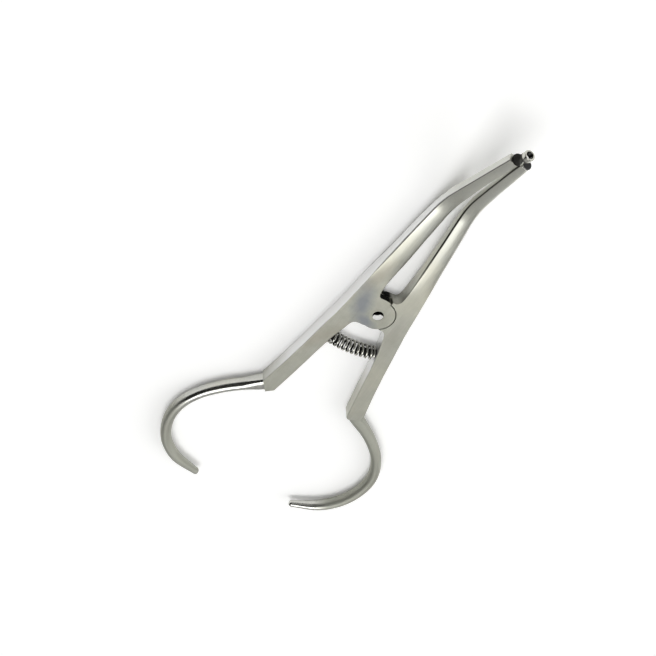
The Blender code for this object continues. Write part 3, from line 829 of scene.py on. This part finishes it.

# painted shade in the lap joint: a matt near-black film on the walls of the notch and a darker tone on the walls of its
# corner; and a painted dark reflection line along the bevelled top edges
for mat, side in ((left_mat, -1), (right_mat, 1)):
    tree = mat.node_tree
    wall = facing(tree, (0.0, 0.0, 1.0), 0.75, 0.35)
    notch_shade = where(tree, (-0.0012, PIVOT_Y * MM + 0.0060, 0.0), 0.0017, 0.0028, 0.98, 0.0, (1.0, 1.0, 0.0))
    corner_shade = where(tree, (0.0036, PIVOT_Y * MM + 0.0072, 0.0), 0.0022, 0.0120, 0.36, 0.0, (1.0, 1.0, 0.0))
    matt_dark_film(mat, add(tree, wall, notch_shade, "MULTIPLY"))
    darken(mat, add(tree, wall, corner_shade, "MULTIPLY"), (0.015, 0.015, 0.016, 1.0))
    # painted dark reflection: a dark line on the bevel between the top and the side facing -x, on the shanks and jaws
    edge = add(tree, facing(tree, (-1.0, 0.0, 0.0), 0.26, 0.50), facing(tree, (0.0, 0.0, 1.0), 0.12, 0.36),
               "MULTIPLY")
    along = tree.nodes.new("ShaderNodeSeparateXYZ")
    tree.links.new(tree.nodes.new("ShaderNodeTexCoord").outputs["Object"], along.inputs[0])
    edge = add(tree, edge, ramp(tree, along.outputs["Y"], 0.020, 0.034, 0.0, 0.92), "MULTIPLY")
    darken(mat, edge, (0.05, 0.045, 0.04, 1.0))
    # painted light: the side walls facing -x lightened toward pale grey, for the white floor they reflect
    if side < 0:
        flank_painted_light = add(tree, facing(tree, (-1.0, 0.0, 0.0), 0.45, 0.80),
                    ramp(tree, along.outputs["Y"], 0.046, 0.056, 1.0, 0.25), "MULTIPLY")
        flank_painted_light = add(tree, flank_painted_light, ramp(tree, along.outputs["Y"], -0.034, -0.018, 0.1, 1.0), "MULTIPLY")
        darken(mat, flank_painted_light, (0.84, 0.84, 0.83, 1.0))
    else:
        flank_painted_light = add(tree, facing(tree, (-1.0, 0.0, 0.0), 0.45, 0.80),
                    ramp(tree, along.outputs["Y"], 0.002, 0.006, 1.0, 0.0), "MULTIPLY")
        flank_painted_light = add(tree, flank_painted_light, ramp(tree, along.outputs["Y"], -0.020, -0.011, 0.0, 1.0), "MULTIPLY")
        darken(mat, flank_painted_light, (0.78, 0.78, 0.77, 1.0))
    # painted shade: the hub and handles darker, their top faces and all faces toward the handle ends, on the left arm
    # more than on the right one, with a real cloudy, brushed mottle through it
    mottle_and_shade = (ramp(tree, along.outputs["Y"], 0.018, 0.040, 0.80, 0.0) if side < 0
            else ramp(tree, along.outputs["Y"], 0.010, 0.030, 0.62, 0.0))
    upward = facing(tree, (0.0, 0.0, 1.0), 0.55, 0.85)
    mottle_and_shade = add(tree, mottle_and_shade, add(tree, upward, ramp(tree, along.outputs["Y"], -0.030, -0.016, 0.85, 0.0), "MAXIMUM"),
               "MULTIPLY")
    place = tree.nodes.new("ShaderNodeTexCoord").outputs["Object"]
    cloud = ramp(tree, noise(tree, place, 230.0, 4.0, 0.65), 0.32, 0.68, 0.62, 1.16)
    brushed = ramp(tree, noise(tree, stretch(tree, place, (2600.0, 150.0, 2600.0), 0.16 * -side), 1.0, 3.0, 0.6),
                   0.30, 0.70, 0.86, 1.08)
    mottle_and_shade = add(tree, mottle_and_shade, add(tree, cloud, brushed, "MULTIPLY"), "MULTIPLY")
    darken(mat, mottle_and_shade, (0.395, 0.395, 0.335, 1.0))

stain(left_mat, (((-0.0061, PIVOT_Y * MM + 0.0021, T * MM), math.radians(-71.0), 0.0082, 0.0031),
                 ((-0.0027, PIVOT_Y * MM - 0.0031, T * MM), math.radians(-20.0), 0.0046, 0.0024)),
      0.78, (0.23, 0.25, 0.28, 1.0))
# faint straw-coloured and grey mottling along both arms
stain(left_mat, (((-0.0072, PIVOT_Y * MM + 0.0120, T * MM), math.radians(80.0), 0.0070, 0.0022),
                 ((-0.0105, PIVOT_Y * MM - 0.0140, T * MM), math.radians(58.0), 0.0090, 0.0026)),
      0.30, (0.36, 0.31, 0.24, 1.0))
stain(right_mat, (((0.0075, PIVOT_Y * MM - 0.0050, T * MM), math.radians(100.0), 0.0090, 0.0028),),
      0.22, (0.34, 0.32, 0.27, 1.0))

# hooks rougher away from the left weld and the right free end, and painted darker there: painted shade for their dimmer
# reflections
for mat, polished in ((left_hook_mat, ((-0.0250, PIVOT_Y * MM - 0.0440, T / 2 * MM), 0.0125, 0.0200)),
                      (right_hook_mat, ((0.0130, PIVOT_Y * MM - 0.0850, T / 2 * MM), 0.0115, 0.0165))):
    tree = mat.node_tree
    bsdf = tree.nodes["Principled BSDF"]
    matt_and_shade = where(tree, polished[0], polished[1], polished[2], 0.0, 1.0)
    shift = ramp(tree, matt_and_shade, 0.0, 1.0, 0.0, 0.36)
    old = bsdf.inputs["Roughness"].links[0].from_socket
    tree.links.new(add(tree, old, shift, "ADD"), bsdf.inputs["Roughness"])
    darken(mat, add(tree, matt_and_shade, 0.85, "MULTIPLY"), (0.40, 0.405, 0.35, 1.0))

# the bore of the rivet: a painted glow where light falls in, and painted shade, matt black, further down
tree = rivet_mat.node_tree
height = tree.nodes.new("ShaderNodeSeparateXYZ")
tree.links.new(tree.nodes.new("ShaderNodeTexCoord").outputs["Object"], height.inputs[0])
inside = add(tree, where(tree, (0.0, PIVOT_Y * MM, 0.0), 0.00158, 0.00166, 1.0, 0.0, (1.0, 1.0, 0.0)),
             facing(tree, (0.0, 0.0, 1.0), 0.8, 0.3), "MULTIPLY")
lit = ramp(tree, add(tree, facing(tree, (-0.49, 0.87, 0.0), 0.10, 0.85),
                     ramp(tree, height.outputs["Z"], 0.0024, 0.0050, 1.0, 0.0), "SUBTRACT"),
           0.0, 0.12, 0.0, 1.0)
deep_shade = add(tree, inside, add(tree, 1.0, lit, "SUBTRACT"), "MULTIPLY")
matt_dark_film(rivet_mat, deep_shade, (0.004, 0.004, 0.004, 1.0))
pale = add(tree, add(tree, inside, lit, "MULTIPLY"), 0.62, "MULTIPLY")
# painted shade: the rivet's top face darker, as on the hub of the arms
darken(rivet_mat, add(tree, facing(tree, (0.0, 0.0, 1.0), 0.55, 0.85), 0.80, "MULTIPLY"), (0.395, 0.395, 0.335, 1.0))
rivet_bsdf = tree.nodes["Principled BSDF"]
rivet_bsdf.inputs["Emission Color"].default_value = (1.0, 1.0, 0.98, 1.0)
tree.links.new(pale, rivet_bsdf.inputs["Emission Strength"])

# a near-black, matt root and neck on the eyelet, painted shade in its bore, and a painted dark reflection on the nub's
# end face
jaw_at, jaw_along, jaw_up = jaw_frame(LEFT_JAW_END_Y)
tree = eyelet_mat.node_tree
root = Vector(to_world(jaw_at))
dark_root = add(tree, along_axis(tree, root, jaw_along, (TUBE_START + 0.45) * MM, (TUBE_START + 0.75) * MM, 0.96, 0.0),
           add(tree, along_axis(tree, root, jaw_along, 0.0008, 0.0017, 1.0, 0.95),
               along_axis(tree, root, (1.0, 0.0, 0.0), -0.0014, -0.0002, 1.0, 0.90), "MULTIPLY"), "MULTIPLY")
ring = Vector(to_world(jaw_at - jaw_up * TUBE_DROP + Vector((TUBE_X, 0.0, 0.0)) + jaw_along * 3.1))
away = tree.nodes.new("ShaderNodeVectorMath")
away.operation = "SUBTRACT"
tree.links.new(tree.nodes.new("ShaderNodeTexCoord").outputs["Object"], away.inputs[0])
away.inputs[1].default_value = ring
off_axis = tree.nodes.new("ShaderNodeVectorMath")
off_axis.operation = "CROSS_PRODUCT"
tree.links.new(away.outputs[0], off_axis.inputs[0])
off_axis.inputs[1].default_value = jaw_along
radius = tree.nodes.new("ShaderNodeVectorMath")
radius.operation = "LENGTH"
tree.links.new(off_axis.outputs[0], radius.inputs[0])
stem = ramp(tree, radius.outputs["Value"], (TUBE_R + 0.02) * MM, (TUBE_R + 0.07) * MM, 0.0, 0.95)
matt_dark_film(eyelet_mat, add(tree, dark_root, stem, "MAXIMUM"))
# painted shade inside the bore of the tube
darken(eyelet_mat, ramp(tree, radius.outputs["Value"], (TUBE_HOLE_R + 0.02) * MM, (TUBE_HOLE_R + 0.10) * MM, 0.80, 0.0),
       (0.05, 0.05, 0.05, 1.0))
# painted dark reflection: the nub's end face, facing along the jaw, near-black
matt_dark_film(nub_mat, add(nub_mat.node_tree, facing(nub_mat.node_tree, jaw_along, 0.30, 0.62), 0.93, "MULTIPLY"),
      (0.02, 0.02, 0.022, 1.0))

# painted shade: the inner sides of the coils near-black, and the coils darker toward +y
tree = wire_mat.node_tree
bsdf = tree.nodes["Principled BSDF"]
geometry = tree.nodes.new("ShaderNodeNewGeometry")
away = tree.nodes.new("ShaderNodeVectorMath")
away.operation = "SUBTRACT"
tree.links.new(tree.nodes.new("ShaderNodeTexCoord").outputs["Object"], away.inputs[0])
away.inputs[1].default_value = to_world((0.0, spring_axis(3.6)[0], T / 2))
flat = tree.nodes.new("ShaderNodeVectorMath")
flat.operation = "MULTIPLY"
tree.links.new(away.outputs[0], flat.inputs[0])
flat.inputs[1].default_value = (0.0, 1.0, 1.0)
unit = tree.nodes.new("ShaderNodeVectorMath")
unit.operation = "NORMALIZE"
tree.links.new(flat.outputs[0], unit.inputs[0])
outward = tree.nodes.new("ShaderNodeVectorMath")
outward.operation = "DOT_PRODUCT"
tree.links.new(unit.outputs[0], outward.inputs[0])
tree.links.new(geometry.outputs["Normal"], outward.inputs[1])
high_side_shade = along_axis(tree, to_world((0.0, spring_axis(3.6)[0], 0.0)), (0.0, 1.0, 0.0), 0.0009, 0.0020, 0.0, 0.40)
inner = ramp(tree, outward.outputs["Value"], -0.35, 0.45, 0.97, 0.0)
matt_dark_film(wire_mat, add(tree, inner, high_side_shade, "MAXIMUM"), (0.005, 0.005, 0.005, 1.0))
for stud_mat in (left_stud_mat, right_stud_mat):
    stud_bsdf = stud_mat.node_tree.nodes["Principled BSDF"]
    stud_bsdf.inputs["Metallic"].default_value = 0.0
    stud_bsdf.inputs["Specular IOR Level"].default_value = 0.15

# --------------------------------------------------------------- the pliers
finish_piece(build_arm("left_arm_fine", -1, LEFT_JAW_END_Y, True), left_mat,
             "left_side", "left_arm")
finish_piece(build_arm("right_arm_fine", 1, RIGHT_JAW_END_Y, False), right_mat,
             "right_side", "right_arm")
finish_piece(build_hook("left_hook_fine", -1), left_hook_mat,
             "left_side", "left_finger_hook")
finish_piece(build_hook("right_hook_fine", 1), right_hook_mat,
             "right_side", "right_finger_hook")
finish_piece(build_rivet(), rivet_mat, "left_side", "pivot_rivet")
finish_piece(build_stud("left_stud_fine", -1), left_stud_mat,
             "left_side", "left_spring_stud")
finish_piece(build_stud("right_stud_fine", 1), right_stud_mat,
             "right_side", "right_spring_stud")
finish_piece(build_eyelet(), eyelet_mat, "left_side", "left_jaw_eyelet")
finish_piece(build_nub(), nub_mat, "right_side", "right_jaw_nub")
spring = finish_piece(build_spring(), wire_mat, None, "return_spring")
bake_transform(spring)

# -------------------------------------------------------------------- studio
floor_mat = bpy.data.materials.new("white_paper_floor")
tree, nodes, links, bsdf = nodes_of(floor_mat)
bsdf.inputs["Roughness"].default_value = 0.85
bsdf.inputs["Specular IOR Level"].default_value = 0.15
coord = nodes.new("ShaderNodeTexCoord").outputs["Object"]
paper = mix_colour(tree, ramp(tree, noise(tree, coord, 30.0, 2.0), 0.3, 0.7, 0.0, 1.0),
                   (0.92, 0.92, 0.92, 1.0), (0.90, 0.90, 0.90, 1.0))
links.new(paper, bsdf.inputs["Base Color"])
# painted light: the floor glows faintly, less near the pliers, where the occlusion paints a soft contact shade
bsdf.inputs["Emission Color"].default_value = (1.0, 1.0, 0.99, 1.0)
shade = nodes.new("ShaderNodeAmbientOcclusion")
shade.samples = 8
shade.inputs["Distance"].default_value = 0.012
links.new(ramp(tree, shade.outputs["AO"], 0.10, 1.0, 0.11, 0.31), bsdf.inputs["Emission Strength"])
bm = bmesh.new()
bmesh.ops.create_grid(bm, x_segments=8, y_segments=8, size=3.0)
mesh = bpy.data.meshes.new("floor")
bm.to_mesh(mesh)
bm.free()
floor = bpy.data.objects.new("floor", mesh)
floor.location = (0.0, 0.0, -0.00005)
mesh.materials.append(floor_mat)
bpy.context.scene.collection.objects.link(floor)

world = bpy.data.worlds.new("studio")
bpy.context.scene.world = world
world.use_nodes = True
wt = world.node_tree
background = wt.nodes["Background"]
direction = wt.nodes.new("ShaderNodeTexCoord").outputs["Generated"]


def step(value, low, high, a, b):
    r = wt.nodes.new("ShaderNodeMapRange")
    r.interpolation_type = "SMOOTHSTEP"
    r.inputs["From Min"].default_value = low
    r.inputs["From Max"].default_value = high
    r.inputs["To Min"].default_value = a
    r.inputs["To Max"].default_value = b
    wt.links.new(value, r.inputs["Value"])
    return r.outputs["Result"]


def toward(vector, low, high, a, b):
    dot = wt.nodes.new("ShaderNodeVectorMath")
    dot.operation = "DOT_PRODUCT"
    dot.inputs[1].default_value = Vector(vector).normalized()
    wt.links.new(direction, dot.inputs[0])
    return step(dot.outputs["Value"], low, high, a, b)


def world_math(a, b, operation):
    m = wt.nodes.new("ShaderNodeMath")
    m.operation = operation
    for sock, value in ((m.inputs[0], a), (m.inputs[1], b)):
        if isinstance(value, float):
            sock.default_value = value
        else:
            wt.links.new(value, sock)
    return m.outputs[0]


# a broad soft light overhead, grey walls on one side and a dark room on the
# other; the light is a rectangle on a plane one unit above the table
split = wt.nodes.new("ShaderNodeSeparateXYZ")
wt.links.new(direction, split.inputs[0])
height = world_math(split.outputs["Z"], 0.08, "MAXIMUM")
plan_x = world_math(split.outputs["X"], height, "DIVIDE")
plan_y = world_math(split.outputs["Y"], height, "DIVIDE")


def panel(x0, x1, y0, y1, soft, level):
    parts = (step(plan_x, x0 - soft, x0 + soft, 0.0, 1.0), step(plan_x, x1 - soft, x1 + soft, 1.0, 0.0),
             step(plan_y, y0 - soft, y0 + soft, 0.0, 1.0), step(plan_y, y1 - soft, y1 + soft, 1.0, 0.0))
    out = parts[0]
    for part in parts[1:]:
        out = world_math(out, part, "MULTIPLY")
    return world_math(out, level, "MULTIPLY")


walls = toward((0.45, -0.80, 0.45), 0.30, 0.90, 0.02, 0.44)
side = toward((1.0, 0.05, 0.0), 0.55, 0.95, 1.0, 0.15)
level = world_math(walls, side, "MULTIPLY")
level = world_math(level, panel(-0.55, 0.36, -0.50, 0.06, 0.09, 3.7), "ADD")
# pale far wall, so the steel isn't black when seen from the hooks
level = world_math(level, toward((0.25, 0.95, 0.30), 0.55, 0.95, 0.0, 0.42), "ADD")
# a lower window on the right
level = world_math(level, toward((1.0, 0.15, 0.55), 0.90, 0.97, 0.0, 2.2), "ADD")
tone = wt.nodes.new("ShaderNodeCombineColor")
for channel, gain in (("Red", 1.0), ("Green", 1.0), ("Blue", 0.99)):
    g = wt.nodes.new("ShaderNodeMath")
    g.operation = "MULTIPLY"
    g.inputs[1].default_value = gain
    wt.links.new(level, g.inputs[0])
    wt.links.new(g.outputs[0], tone.inputs[channel])
wt.links.new(tone.outputs["Color"], background.inputs["Color"])
background.inputs["Strength"].default_value = 1.0

# -------------------------------------------------------------------- camera
camera_data = bpy.data.cameras.new("camera")
camera = bpy.data.objects.new("camera", camera_data)
bpy.context.scene.collection.objects.link(camera)
camera_data.sensor_width = 36.0
camera_data.lens = 58.54
camera_data.clip_start = 0.01
camera_data.clip_end = 20.0
camera_data.dof.use_dof = False
right = Vector((0.87, 0.4918, 0.0343)).normalized()
back = Vector((-0.34, 0.5483, 0.7641)).normalized()
up = back.cross(right).normalized()
right = up.cross(back)
place = Vector((-112.78, 154.94 + PIVOT_Y, 235.10)) * MM
camera.matrix_world = Matrix(((right.x, up.x, back.x, place.x), (right.y, up.y, back.y, place.y),
                              (right.z, up.z, back.z, place.z), (0.0, 0.0, 0.0, 1.0)))
bpy.context.scene.camera = camera
view = bpy.context.scene.view_settings
view.view_transform = "Standard"
view.look = "None"
